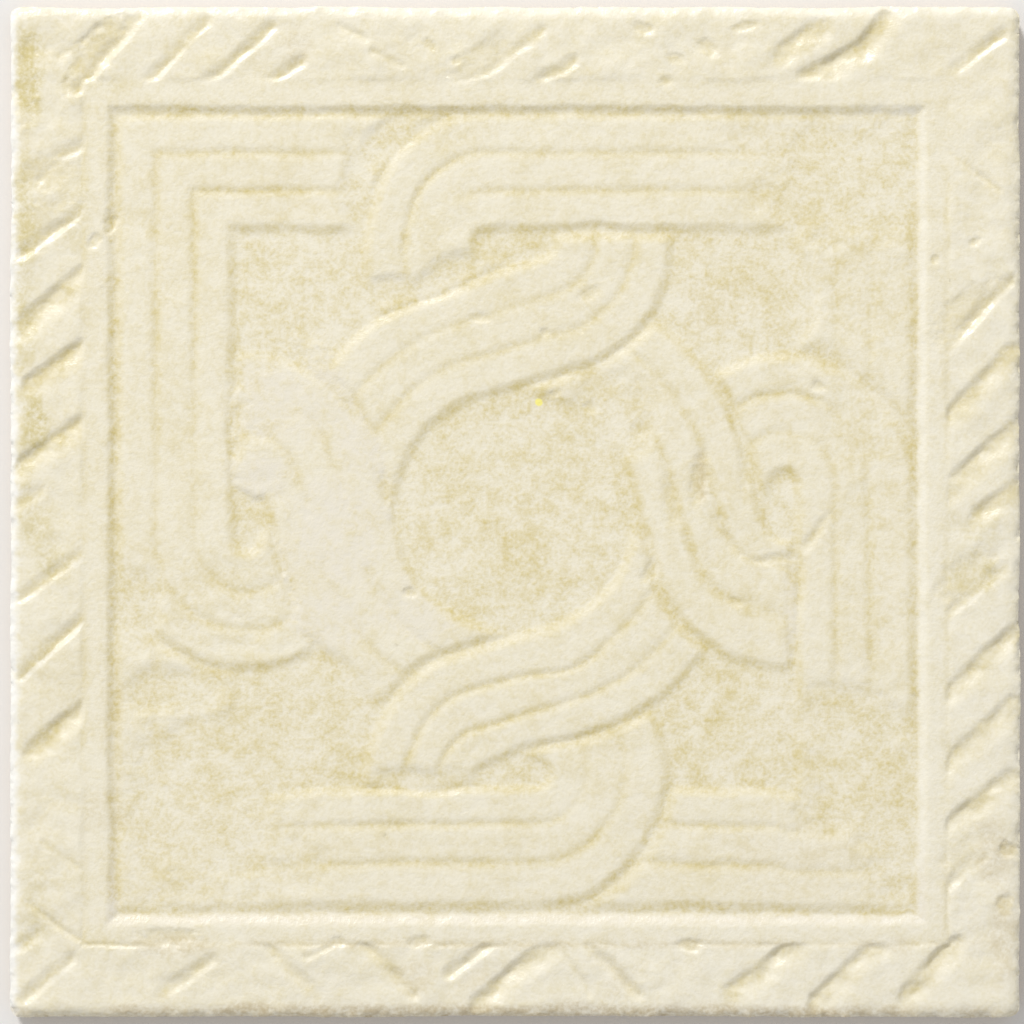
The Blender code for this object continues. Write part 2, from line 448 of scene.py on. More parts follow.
def line_over_right_neighbour(pattern: Pattern) -> list[Vector]:
    """Draw the stretch of the top left band that lies over its right-hand neighbour: the S at the top.

    Args:
        pattern: The layout of the face.

    Returns:
        The stretch's points.
    """
    turn, tangent = pattern.loop_to_ring()
    start_angle = math.radians(-40)
    loop_middle = Vector((pattern.loop_sideways, pattern.band_line - pattern.loop_radius))
    route = route_from_loop(pattern, loop_middle, start_angle)
    route.arc(pattern.loop_radius, math.radians(90) - turn - start_angle)
    route.straight(tangent)
    route.arc(pattern.ring_radius, math.radians(30))
    return route.points


def line_over_left_neighbour(pattern: Pattern) -> list[Vector]:
    """Draw the stretch of the top left band that lies over its left-hand neighbour: the hook at the left.

    Args:
        pattern: The layout of the face.

    Returns:
        The stretch's points.
    """
    start_angle = math.radians(255)
    loop_middle = Vector((pattern.loop_radius - pattern.band_line, -pattern.loop_sideways))
    route = route_from_loop(pattern, loop_middle, start_angle)
    route.arc(pattern.loop_radius, math.radians(180) - start_angle)
    route.straight(pattern.covering_straight)
    return route.points


def turned(points: list[Vector], quarters: int) -> list[Vector]:
    """Points turned to the left about the tile's centre, by quarter turns."""
    turn = Matrix.Rotation(math.radians(90 * quarters), 2)
    return [turn @ point for point in points]


def line_guide(name: str, lines: list[list[Vector]]) -> bpy.types.Object:
    """Make an object of bare edges, for the height rule to measure from.

    Args:
        name: The object's name.
        lines: Each line's points.

    Returns:
        The guide, which is removed again once the face is made.
    """
    vertices: list[tuple[float, float, float]] = []
    edges: list[tuple[int, int]] = []
    for points in lines:
        first = len(vertices)
        vertices += [(point.x, point.y, 0.0) for point in points]
        edges += [(first + i, first + i + 1) for i in range(len(points) - 1)]
    mesh = bpy.data.meshes.new(name)
    mesh.from_pydata(vertices, edges, [])
    return placed(name, mesh)


# The rope's grooves


class Cut(Enum):
    """A groove's depth, and its width to its upper left and to its lower right, in metres."""

    SHADED = (0.60 * MM, 2.0 * MM, 4.5 * MM)
    PLAIN = (0.44 * MM, 2.5 * MM, 1.4 * MM)
    FAINT = (0.32 * MM, 2.5 * MM, 1.6 * MM)
    CRACK = (0.19 * MM, 1.2 * MM, 1.1 * MM)

    def guide_name(self) -> str:
        """The name of the tree's input that takes the grooves of this kind."""
        return f"{self.name.title()} Grooves"


# Each groove's outer and inner end, in millimetres. Those of a kind go down the left side, along the top,
# down the right side and along the bottom.
ROPE_GROOVES: dict[Cut, tuple[tuple[tuple[float, float], tuple[float, float]], ...]] = {
    Cut.SHADED: (
        ((-98.6, 37.0), (-85.3, 47.9)), ((-96.4, 25.7), (-85.7, 33.1)),
        ((-98.0, 9.7), (-85.3, 18.2)), ((-95.6, -46.5), (-85.7, -38.2)),
        ((59.6, 96.2), (52.9, 91.7)), ((73.3, 97.8), (68.3, 92.1)), ((68.3, 92.1), (57.4, 86.5)),
        ((98.0, 32.0), (86.7, 20.0)), ((98.4, 17.0), (84.6, 4.2)), ((98.6, 5.2), (91.7, 0.0)),
        ((98.4, -23.4), (85.3, -35.6)), ((98.4, -37.6), (85.3, -49.9)),
        ((98.0, -52.1), (85.1, -62.2)), ((-7.5, -96.8), (7.3, -84.7)),
        ((42.4, -94.8), (54.7, -86.3)), ((59.6, -96.6), (71.5, -85.1)),
        ((77.8, -94.8), (86.2, -85.5)),
    ),
    Cut.PLAIN: (
        ((-97.6, 50.7), (-84.9, 60.2)), ((-98.0, -17.4), (-85.7, -8.7)),
        ((-98.0, -32.7), (-85.7, -21.4)), ((-74.3, 98.0), (-86.2, 83.4)),
        ((-61.0, 97.0), (-72.3, 85.1)), ((-48.1, 95.8), (-61.0, 84.5)),
        ((-42.2, 89.1), (-48.5, 84.3)), ((11.9, 88.9), (5.3, 85.3)), ((96.6, 94.2), (87.5, 87.3)),
        ((98.0, 45.5), (85.5, 31.9)), ((-12.9, -91.7), (-5.0, -85.7)),
    ),
    Cut.FAINT: (
        ((-90.1, 70.7), (-84.9, 72.5)), ((-99.0, 1.0), (-94.1, 4.0)),
        ((-98.4, -86.7), (-94.4, -83.8)), ((5.1, 94.6), (-9.7, 84.3)),
        ((97.0, -11.5), (85.5, -20.4)), ((93.1, -67.9), (85.5, -74.6)),
        ((-97.0, -96.6), (-88.1, -88.7)), ((-69.9, -95.8), (-60.0, -88.9)),
        ((-39.0, -96.4), (-49.5, -84.9)), ((-20.0, -95.8), (-30.0, -85.3)),
        ((24.5, -95.6), (14.0, -85.3)),
    ),
    Cut.CRACK: (
        ((-94.1, 65.7), (-90.1, 69.7)), ((-93.5, -65.5), (-84.9, -71.3)),
        ((-96.0, -77.8), (-86.5, -84.7)), ((-82.6, 95.8), (-90.1, 89.9)),
        ((-34.7, 96.4), (-29.7, 93.9)), ((-28.3, 91.5), (-22.4, 88.3)),
        ((96.0, 63.8), (86.1, 71.1)), ((-41.4, -88.1), (-35.4, -85.5)),
        ((14.9, -95.6), (9.3, -86.3)),
    ),
}


# Wear and stains


class Change(Enum):
    """What has happened to the face at a place."""

    WORN = "relief rubbed away"
    FILLED = "grooves between the strands of a band filled"
    CRISP = "grooves between the strands of a band left deep"
    COATED = "everything filled level with the strands by thick glaze"
    LUMPY = "surface left rough"
    DENTED = "pressed in, by its amount in millimetres"
    OCHRE = "stained ochre"
    # Brown stains, and painted shade in a slot of the curl and on the frame's left inner slope
    DIRTY = "stained brown"


@dataclass(frozen=True)
class Patch:
    """A soft-edged oval on the face where something has changed, in millimetres and degrees."""

    x: float
    y: float
    half_length: float
    half_width: float
    amount: float = 1.0
    turn: float = 0.0
    softness: float = 0.55


def patches(*rows: tuple[float, ...]) -> tuple[Patch, ...]:
    """Make a patch of each row, whose numbers stand in the order of a patch's fields."""
    return tuple(Patch(*row) for row in rows)


PATCHES: dict[Change, tuple[Patch, ...]] = {
    Change.WORN: patches(
        # Right-hand side of the field, from the top corner down
        (68, 66, 24, 18), (56, 72, 17, 9, 0.7), (55.5, 42, 6, 13, 0.85), (70, 44, 14, 14, 0.5),
        (62, 31, 9, 4, 0.6, -25, 0.8), (68, 18, 9, 12, 0.6), (72, -6, 9, 26, 0.4),
        (68, -49, 15, 19), (77, -62, 14, 20),
        # The ring, the left loop and the lower left corner
        (19, 19, 11, 11, 0.85), (-57, -20, 17, 12, 0.3), (-75, -19, 7, 9, 0.85),
        (-62, -60, 24, 24, 0.86), (-57, -50, 25, 14), (-50, 23, 9, 10, 0.5),
        # Band ends that fade out beside a crossing
        (-31.3, 63.5, 3.6, 12, 1.0, 0, 0.8), (-25.2, 74.2, 11, 4.2, 1.0, 47, 0.6),
        (-25.2, 43.8, 9, 4, 1.0, 10, 0.7), (-14, 46.8, 12, 3.6, 1.0, 22, 0.7),
        (-66, -36, 14, 6, 0.9), (-33.7, -31.7, 8, 3, 0.9, -35, 0.9),
        (-19.5, -53.0, 14, 2.6, 0.9, 0, 0.9),
    ),
    Change.CRISP: patches(
        (-19, 62, 13, 16), (53, 25, 13, 8), (-3, -35, 28, 12, 0.9, 20), (-17, -64, 22, 12, 0.7),
        (40, -66, 16, 10, 0.6), (22, -66, 10, 14, 0.8), (-68, 44, 10, 32, 0.6),
        (-52, 64, 20, 10, 0.6), (34, -2, 12, 18, 0.9, 20), (60, -8, 5, 24, 0.4),
        (69.3, -3, 3.5, 15, 0.9), (-53, -20, 14, 9, 0.6),
    ),
    Change.FILLED: patches(
        (-9, 35, 22, 9, 0.3, 22), (-12.5, 57, 9, 9), (-64, 8, 11, 22, 0.5), (17, -55, 10, 10, 0.4),
        (56, 6, 12, 14, 0.4),
    ),
    Change.COATED: patches(
        (-45, 20.5, 12, 9, 0.7, -15), (-32, 14, 13, 5.5, 0.85, -62),
        (-36.8, 26.5, 11, 4, 0.8, -50, 0.8), (-34.7, -4.6, 12.5, 14, 0.95), (-36, -21, 9, 7, 0.8),
        (-50.5, 7.2, 7, 5, 0.85, 0, 0.5), (54.5, -18.4, 1.8, 12, 0.7, 0, 0.9),
        (-20, -20.5, 11, 6.5, 0.72, -20),
    ),
    Change.LUMPY: patches(
        # In the field
        (-9, 57, 9, 7), (-48, 2, 8, 9), (-55, -23, 14, 9),
        # Along the rope
        (-92, 86, 8, 14), (-25, 92, 22, 6), (34, 92, 24, 6), (93, 62, 6, 26), (92, -6, 7, 9),
        (92, -80, 7, 12), (24, -92, 16, 6), (10, -92, 90, 6, 0.5), (-56, -92, 34, 6),
        (-92, -70, 6, 24),
    ),
    Change.DENTED: patches(
        # Long dips on the upper left of some of the rope's turns
        (-82.8, 91.5, 10, 3.5, 0.35, 52), (-97, 84.5, 3, 10, 0.2), (-93, 67.3, 6, 4, 0.2, 20),
        (-94, 56.8, 6, 5, 0.2, 35), (-6.9, 89.9, 8, 3, 0.2, 35), (89, 40, 9, 4, 0.25, 45),
        (89.1, -13.5, 8, 4.5, 0.25, 38), (89.1, -67, 7, 4, 0.2, 45),
        # Pits and chips in the rope and the frame
        (-80.2, 57.4, 1.6, 2.6, 0.4, -20), (-83.4, 53.5, 1.2, 2.2, 0.3, -25),
        (-16.8, 92.5, 2, 1.2, 0.25, -35), (-11.3, 89.5, 1.3, 1.3, 0.3),
        (25.3, 95.8, 2.2, 1.4, 0.3, -20), (31.7, 89.9, 2.2, 1.2, 0.25, -20),
        (29.7, 85.5, 1.6, 1.2, 0.25), (38.2, 91.9, 2.5, 1.6, 0.3, -30),
        (45.5, 96.2, 3, 1.2, 0.25, 10), (91, 53.5, 1.5, 1, 0.3, 20), (83.2, 49.9, 1.2, 1.2, 0.25),
        (97.6, -67, 2, 2, 0.5), (97, -77.8, 2, 2.5, 0.4), (34.7, -85.7, 3, 1.5, 0.35),
        (-18.8, -85.1, 2.5, 1.5, 0.3), (-34.7, -85.1, 1.6, 1.2, 0.3), (-68.3, -84, 7, 1.8, 0.3),
        # Pits in the field
        (-6.9, 38.4, 2.4, 1, 0.18, -15), (5.9, 35.6, 1, 1, 0.25), (14.9, 43.4, 3, 1.4, 0.18, 20),
        (8.1, 23.6, 1.6, 0.8, 0.2, 20), (14.9, 20.6, 1.6, 1.2, 0.2), (60.0, 24.8, 1.6, 1.2, 0.25),
        (43.6, -17.8, 1.8, 1, 0.2, -20), (26.7, -11.9, 1.8, 3, 0.25, -25),
        (-20.8, -16, 1.6, 1.2, 0.3),
        # The curl at the right, where the ring's band and the right-hand loop have run into each other
        (59.4, -4.4, 6, 1.3, 0.3, 56, 0.9), (52, -9.3, 5.5, 1.3, 0.3, 3, 0.9),
        (45.2, 7.3, 1.3, 7, 0.2, 3, 0.9), (42.0, -5.2, 5.5, 1.2, 0.25, -52, 0.9),
        (36.5, 6.5, 2.4, 6.5, 0.4, -8, 0.9), (30.7, 2.4, 1.8, 6, 0.28, 10, 0.9),
        (25, 16.5, 3.4, 1.8, 0.2, 45, 0.9),
    ),
    Change.OCHRE: patches(
        # In the rope at the left
        (-96.5, 86, 3.4, 13, 0.65), (-97.5, 50, 2.4, 34, 0.55, 0, 0.8),
        (-97, 10, 2.2, 12, 0.5, 0, 0.8), (-96.5, 55, 2.6, 9, 0.45), (-96.5, 36, 2.6, 8, 0.5),
        (-95, 19, 2.6, 8, 0.75), (-95, -2.5, 4.5, 7, 0.35), (-91, -10, 4, 4.5, 0.4),
        (-87, 60, 4, 10, 0.2), (-83.5, 85, 10, 6, 0.15), (-95, -78, 4, 10, 0.25),
        (-93, -43, 2.6, 2.6, 0.35), (-97, -85, 1.4, 2, 0.4),
        # At the right
        (94, -12.5, 2.2, 3.4, 0.5), (86.5, -1.6, 1.8, 2.2, 0.4), (73, -41.6, 3.6, 4, 0.2),
        (92, -2, 4, 5, 0.2), (89, -12, 5, 6, 0.25),
    ),
    Change.DIRTY: patches(
        # Darker brown along the bottom edge and the bottom seam, painted shade in the curl's slot at (37,
        # 6.4) and on the frame's left inner slope at x -79.6 and -81, and stains elsewhere
        (0, -99.4, 110, 2.2, 0.75), (10, -85.6, 92, 1.0, 0.25), (76, -86, 4, 2, 0.25),
        (37, 6.4, 1.6, 7, 0.45, 5, 0.9), (-68, -86, 10, 2.6, 0.35), (-79.6, -44, 3, 16, 0.1),
        (-81, -60, 6, 4, 0.15), (57, -69, 18, 8, 0.12, 0, 1.0), (41, 40, 9, 8, 0.1, 0, 1.0),
        (-20, -92, 5, 4.5, 0.2, 45), (-8, -93, 5, 3, 0.15, 45), (21, -93, 4, 4, 0.15, -45),
        (95, -66, 4, 8, 0.3), (97, -84, 3, 10, 0.3), (-44, 92, 5, 4, 0.2),
    ),
}


@dataclass(frozen=True)
class Slip:
    """A soft-edged oval in which the pattern is out of place. All lengths are in millimetres."""

    x: float
    y: float
    half_length: float
    half_width: float
    by: tuple[float, float]

    def patch(self) -> Patch:
        """The oval, soft from its middle out."""
        return Patch(self.x, self.y, self.half_length, self.half_width, softness=1.0)


SLIPS = (
    Slip(-25.7, 58.8, 17, 24, (1.8, 0.0)),
    Slip(-16.8, 44.0, 16, 8, (0.0, -1.7)),
    Slip(0.0, -65.0, 100, 17, (0.0, 1.9)),
    Slip(-23.8, -44.2, 15, 15, (1.8, -0.6)),
    Slip(16.8, -57.0, 20, 18, (-2.0, 0.6)),
    Slip(50.5, -13.5, 14, 11, (0.0, 5.9)),
    Slip(69.9, 6.0, 6, 60, (-1.2, 0.0)),
    Slip(10.9, -29.7, 12, 6, (0.0, -1.6)),
    Slip(3.0, -46.7, 10, 5, (0.0, 1.3)),
)

YELLOW_SPOT = (4.75 * MM, 21.8 * MM)
YELLOW_SPOT_RADIUS = 0.9 * MM


# The height rule


@dataclass(frozen=True)
class Relief:
    """The heights and slopes of the face, in metres. The ground's level is given from the back."""

    ground_level: float
    strand_relief: float = 0.52 * MM
    strand_half_width: float = 2.1 * MM
    strand_slope: float = 3.0 * MM
    crossing_gap: float = 0.2 * MM
    frame_relief: float = 0.85 * MM
    rope_relief: float = 0.95 * MM
    edge_width: float = 2.7 * MM
    edge_drop: float = 1.4 * MM
    corner_radius: float = 2.0 * MM
    wall_foot: float = 0.8 * MM
    seed: float = 3.7

    def wall_reach(self) -> float:
        """The height of the walls under the rounded edge."""
        return self.ground_level + self.rope_relief - self.edge_drop


class HeightRule:
    """Builds the node tree that makes the face and the walls out of a flat grid."""

    SIZES = (
        "Half Side", "Strand Pitch", "Band Line", "Frame Foot", "Frame Top", "Rope Line",
        "Ground Level", "Strand Relief", "Strand Half Width", "Strand Slope", "Crossing Gap",
        "Frame Relief", "Rope Relief", "Edge Width", "Edge Drop", "Corner Radius", "Wall Foot",
        "Seed",
    )
    CORNER_SIGNS = ((-1.0, 1.0), (-1.0, -1.0), (1.0, -1.0), (1.0, 1.0))
    GROOVE_NORMAL = (0.64, -0.77)
    BED_SHARE = 0.48
    CRISP_BED_SHARE = BED_SHARE * 0.3

    # Where one region passes into the next, as the start and the end of a soft step
    ROPE_START = (-0.5 * MM, 0.9 * MM)
    BAND_CORNER = (52 * MM, 54 * MM)
    RING_INSIDE = (23.4 * MM, 25.4 * MM)
    ONE_SIDE = (60 * MM, 80 * MM)
    TOP_ROPE = (80 * MM, 84 * MM)
    SEAM_SIDE = (0.1 * MM, 1.1 * MM)

    # How wide the rim is that waves sideways, and how far the uneven parts go up, down or sideways
    RIM_WIDTH = 3 * MM
    OUTLINE_WARP = 0.5 * MM
    EDGE_WARP = 0.9 * MM
    LOW_FOOT = 0.5 * MM
    SEAM_DEPTHS = (0.16 * MM, 0.24 * MM)
    LUMPS = 0.06 * MM
    FINE_LUMPS = 0.022 * MM
    SWELL = 0.08 * MM
    ROPE_SWELL = 0.30 * MM
    RIM_SWELL = 0.4 * MM
    RIM_RIPPLE = 0.16 * MM

    # How strongly noise breaks up patches and dents, and thins the relief out where it isn't worn
    RAGGED = 0.4
    PATCHY = 0.35
    RAGGED_DENT = 0.5
    UNEVEN_WEAR = 0.35

    # How much the frame's slope, the seam beside it and the strands' sides count in the notes: as painted
    # highlight on the frame's right-hand slope, as painted shade on its lower slope, and as tan grain with
    # painted shade on its slopes, in the seam and on the strands' sides
    HIGHLIGHT_SLOPE = 0.4
    LOWER_SLOPE_SHADE = 0.9
    HOLLOW_SLOPE = 0.7
    HOLLOW_SEAM = 0.6
    HOLLOW_STRAND = 0.85

    # The depths at which a groove, a dent and a lopsided groove's lip show in full
    FULL_GROOVE = 0.45 * MM
    FULL_DENT = 0.4 * MM
    FULL_LIP = 0.27 * MM

    def __init__(self, guides: dict[str, bpy.types.Object], pattern: Pattern) -> None:
        """Start the tree.

        Args:
            guides: The line guides, by the name of the tree's input that takes each.
            pattern: The layout of the face.
        """
        self.tree = bpy.data.node_groups.new("tile_height_rule", "GeometryNodeTree")
        self.pattern = pattern
        self.soft_place = SoftPlace()
        face = self.tree.interface
        for name in (*self.SIZES, "Wall Reach"):
            face.new_socket(name, in_out="INPUT", socket_type="NodeSocketFloat")
        face.new_socket("Grid Points", in_out="INPUT", socket_type="NodeSocketInt")
        for name in guides:
            face.new_socket(name, in_out="INPUT", socket_type="NodeSocketObject")
        face.new_socket("Material", in_out="INPUT", socket_type="NodeSocketMaterial")
        face.new_socket("Geometry", in_out="OUTPUT", socket_type="NodeSocketGeometry")
        self.inputs = self.tree.nodes.new("NodeGroupInput")

    def given(self, name: str) -> Term:
        """The tree's input of that name."""
        return Term(self.tree, self.inputs.outputs[name])

    def seeded(self, grain: float, number: float, detail: float = 2.0, roughness: float = 0.5) -> Term:
        """A noise on the tile's plan: one of the numbered ones that the seed gives."""
        return noise(self.flat, grain, self.given("Seed") + number, detail, roughness)

    def nearest(self, guide: str, place: Term) -> tuple[Term, Term]:
        """Measure how far a place is from a guide.

        Args:
            guide: The name of the tree's input that takes the guide.
            place: The place.

        Returns:
            The distance to the guide's nearest edge, and the nearest point on it.
        """
        info = self.tree.nodes.new("GeometryNodeObjectInfo")
        feed(self.given(guide), info.inputs["Object"])
        near = self.tree.nodes.new("GeometryNodeProximity")
        near.target_element = "EDGES"
        self.tree.links.new(info.outputs["Geometry"], near.inputs["Geometry"])
        feed(place, near.inputs["Sample Position"])
        return Term(self.tree, near.outputs["Distance"]), Term(self.tree, near.outputs["Position"])

    def plan(self) -> None:
        """Lay the grid out as the tile's plan: rows beyond the side fold down as the walls."""
        position = Term(self.tree, self.tree.nodes.new("GeometryNodeInputPosition").outputs[0])
        u, v, _ = parts(position)
        half = self.given("Half Side")
        radius = self.given("Corner Radius")
        reach = u.size().at_least(v.size())
        self.depth = (reach - half).at_least(0.0)
        fold = (half / reach).at_most(1.0)
        x = u * fold
        y = v * fold
        # Square corners are rounded by pulling the points of the corner square into a quarter disc.
        into_x = (x.size() - half + radius).at_least(0.0) / radius
        into_y = (y.size() - half + radius).at_least(0.0) / radius
        self.x = x.sign() * (x.size() - into_x * radius * (1.0 - (1.0 - into_y * into_y * 0.5).root()))
        self.y = y.sign() * (y.size() - into_y * radius * (1.0 - (1.0 - into_x * into_x * 0.5).root()))
        self.flat = vector(self.x, self.y)
        self.warped_x = self.x + self.seeded(6 * MM, 0, 4.0, 0.55) * self.OUTLINE_WARP
        self.warped_y = self.y + self.seeded(6 * MM, 1, 4.0, 0.55) * self.OUTLINE_WARP
        self.warped = vector(self.warped_x, self.warped_y)
        self.reach = self.warped_x.size().at_least(self.warped_y.size())
        rope_line = self.given("Rope Line")
        rope_starts, rope_full = self.ROPE_START
        self.on_rope = self.reach.climb(rope_line + rope_starts, rope_line + rope_full)
        self.slipped = self.warped
        for slip in SLIPS:
            share = self.soft_place.at(self.flat, slip.patch(), 0.0)
            by_x, by_y = (share * (length * MM) for length in slip.by)
            self.slipped = vector_sum("SUBTRACT", self.slipped, vector(by_x, by_y))

    def change(self, kind: Change, ragged: Term) -> Term:
        """Measure one kind of change.

        Args:
            kind: Which change.
            ragged: A noise that breaks the outlines of its patches up.

        Returns:
            The strongest share that any patch of the kind has at a place.
        """
        total: Number = 0.0
        for patch in PATCHES[kind]:
            total = (self.soft_place.at(self.flat, patch, ragged) * patch.amount).at_least(total)
        return total

    def band_share(self, number: int, bed_share: Term) -> Term:
        """One band's share of the strand relief.

        Args:
            number: Which band, counted in quarter turns to the left.
            bed_share: The share at the bottom of the grooves between its strands.

        Returns:
            Its share, which is nought where a neighbour goes over it.
        """
        pitch = self.given("Strand Pitch")
        half = self.given("Strand Half Width")
        slope = self.given("Strand Slope")
        sign_x, sign_y = self.CORNER_SIGNS[number]
        corner = (self.x * sign_x).at_most(self.y * sign_y).climb(*self.BAND_CORNER)
        from_line, _ = self.nearest(f"Band {number}", self.slipped)
        from_line = corner.between(from_line, (self.reach - self.given("Band Line")).size())
        from_strand = from_line.at_most((from_line - pitch).size())
        strand = 1.0 - from_strand.climb(half, half + slope)
        bed = 1.0 - from_line.climb(pitch + half, pitch + half + slope)
        foot = pitch + half + slope * 0.5 + self.given("Crossing Gap")
        from_cover, _ = self.nearest(f"Over Band {number}", self.slipped)
        return bed_share.between(strand, bed) * from_cover.climb(foot, foot + slope)

    def strands(self, filled: Term, crisp: Term) -> Term:
        """Put the four bands together.

        Args:
            filled: How far the grooves between strands are filled.
            crisp: How far they are still deep.

        Returns:
            The bands' share of the strand relief.
        """
        bed_share = filled.between(crisp.between(self.BED_SHARE, self.CRISP_BED_SHARE), 1.0)
        shares = [self.band_share(number, bed_share) for number in range(4)]
        return shares[0].at_least(shares[1]).at_least(shares[2].at_least(shares[3]))

    def border(self) -> tuple[Term, Term]:
        """Make the frame and the rope, and note where they get painted highlight and painted shade.

        Returns:
            Their height over the ground, and the share of tan grain and painted shade down their slopes,
            in the seam and in their grooves.
        """
        aside_x, aside_y = self.pattern.frame_aside
        inner_reach = (self.warped_x - aside_x).size().at_least((self.warped_y - aside_y).size())
        low = (0.0 - self.y).climb(*self.ONE_SIDE)
        on_right = self.x.climb(*self.ONE_SIDE)
        foot = self.given("Frame Foot") - low * self.LOW_FOOT
        rise = inner_reach.climb(foot, self.given("Frame Top"))
        height = rise * self.on_rope.between(self.given("Frame Relief"), self.given("Rope Relief"))
        seam = 1.0 - (self.reach - self.given("Rope Line")).size().climb(*self.SEAM_SIDE)
        not_at_top = 1.0 - self.y.climb(*self.TOP_ROPE)
        seam = seam * self.seeded(22 * MM, 2).climb(-0.7, 0.2) * not_at_top
        grooves: Number = seam * low.between(*self.SEAM_DEPTHS)
        lips: Number = 0.0
        for cut in Cut:
            groove, lip = self.groove(cut)
            grooves = groove.at_least(grooves)
            lips = lip.at_least(lips)
        uneven = (1.0 + self.seeded(6 * MM, 12) * 1.1).at_least(0.25) * low.between(1.0, 1.25)
        slope = rise.halfway()
        broken = self.seeded(7 * MM, 16).climb(-0.4, 0.7)
        # Painted highlight on the lit lips of the rope's grooves and on the frame's right-hand inner
        # slope, which face the light
        self.painted_highlight = (lips * self.on_rope * broken).at_least(slope * on_right * self.HIGHLIGHT_SLOPE)
        # Painted shade on the frame's lower inner slope, which faces the light; it reaches the colour
        # through the coated and brown notes
        self.thick = slope * low * self.LOWER_SLOPE_SHADE
        groove_hollow = (grooves / self.FULL_GROOVE).at_most(1.0) * self.on_rope
        # Painted shade with the tan grain: down the frame's slopes (weaker on the lower and right-hand
        # ones, which face the light), in the seam and in the rope's grooves
        painted_shade_side = (1.0 - low * 0.8) * (1.0 - on_right * 0.5) * self.HOLLOW_SLOPE
        hollow_grain_and_shade = (slope * painted_shade_side).at_least(groove_hollow).at_least(seam * self.HOLLOW_SEAM)
        return height - grooves * uneven * self.on_rope, hollow_grain_and_shade

    def groove(self, cut: Cut) -> tuple[Term, Term]:
        """The rope's grooves of one kind.

        Args:
            cut: The kind.

        Returns:
            Their depth, and how strong the painted highlight on the lip of their steep, lit side is.
        """
        depth, upper_width, lower_width = cut.value
        distance, nearest = self.nearest(cut.guide_name(), self.warped)
        away_x, away_y, _ = parts(vector_sum("SUBTRACT", self.warped, nearest))
        normal_x, normal_y = self.GROOVE_NORMAL
        side = (away_x * normal_x + away_y * normal_y) / distance.at_least(0.01 * MM)
        share = 1.0 - distance.climb(0.0, side.climb(-0.6, 0.6).between(upper_width, lower_width))
        lip_highlight = max(0.0, 1.0 - lower_width / upper_width) * depth / self.FULL_LIP
        return share * depth, side.climb(0.2, 0.8) * share.halfway() * lip_highlight

    def build(self) -> bpy.types.GeometryNodeTree:
        """Make the whole tree.

        Returns:
            The tree, ready to be set on an object.
        """
        self.plan()
        ragged = self.seeded(9 * MM, 3, 3.0, 0.6) * self.RAGGED
        worn = self.change(Change.WORN, ragged)
        patchy = ragged + self.seeded(4 * MM, 14, 3.0, 0.6) * self.PATCHY
        outside_ring = both(self.x, self.y).climb(*self.RING_INSIDE)
        coated = self.change(Change.COATED, patchy) * outside_ring
        left = (1.0 - worn) * (1.0 - self.seeded(19 * MM, 4).climb(0.0, 0.8) * self.UNEVEN_WEAR)
        strand = self.strands(self.change(Change.FILLED, ragged), self.change(Change.CRISP, ragged))
        share = (strand * left).at_least(coated)
        border, border_hollow = self.border()
        raised = share * self.given("Strand Relief") + border
        dents = self.dents()
        top = self.given("Ground Level") + raised + self.lumps(ragged) + self.swell() - dents
        rim = self.given("Ground Level") + self.given("Rope Relief") - self.given("Edge Drop")
        height = self.edge_share().between(top, rim.at_most(top))
        strand_hollow = strand.halfway() * self.HOLLOW_STRAND * left * (1.0 - coated)
        dent_hollow = (dents / self.FULL_DENT).share()
        on_border = self.reach.climb(self.given("Frame Foot"), self.given("Frame Top"))
        # These notes hold painted light beside the glaze's own marks: painted shade with the grain in the
        # recesses and on the frame's lower inner slope, and painted highlight on what faces the light
        notes = {
            HOLLOW_GRAIN_AND_SHADE: strand_hollow.at_least(border_hollow).at_least(dent_hollow),
            RAISED: share.at_least(on_border),
            PAINTED_HIGHLIGHT: self.painted_highlight,
            COATED: coated.at_least(self.thick),
            OCHRE: self.change(Change.OCHRE, patchy),
            DIRTY: self.change(Change.DIRTY, patchy).at_least(self.thick * 0.2),
        }
        self.finish_shape(height, notes)
        return self.tree

    def lumps(self, ragged: Term) -> Term:
        """Work out the small unevenness of the surface.

        Args:
            ragged: A noise that breaks the outlines of the lumpy patches up.

        Returns:
            Its height: coarser on the rope and in the lumpy patches, and finer elsewhere.
        """
        rough = 1.0 + self.on_rope + self.change(Change.LUMPY, ragged) * 2.0
        lumps = self.seeded(5 * MM, 5, 3.0, 0.55) * self.LUMPS * rough
        return lumps + self.seeded(1.7 * MM, 15, 2.0, 0.6) * self.FINE_LUMPS * (1.0 - self.on_rope)

    def swell(self) -> Term:
        """The height of the broad unevenness, which is strongest on the rope."""
        swell = self.seeded(24 * MM, 6, 1.0) * self.SWELL
        return swell + self.seeded(9 * MM, 13, 1.0) * self.ROPE_SWELL * self.on_rope

    def dents(self) -> Term:
        """How far the face is pressed in at a place, in metres."""
        ragged = self.seeded(2.5 * MM, 7, 3.0, 0.6) * self.RAGGED_DENT
        return self.change(Change.DENTED, ragged) * MM

    def edge_share(self) -> Term:
        """Round the outer edge off, along a rough line.

        Returns:
            How far the face has fallen from its top, at nought, to the wall's top, at one.
        """
        half = self.given("Half Side")
        width = self.given("Edge Width")
        out_x = self.x.size() - half + width
        out_y = self.y.size() - half + width
        corner = both(out_x.at_least(0.0), out_y.at_least(0.0))
        rough = self.seeded(3.5 * MM, 8, 3.0, 0.6) * self.EDGE_WARP
        out = ((corner + rough * corner.climb(0.0, width)) / width).share()
        return 1.0 - (1.0 - out * out).root()

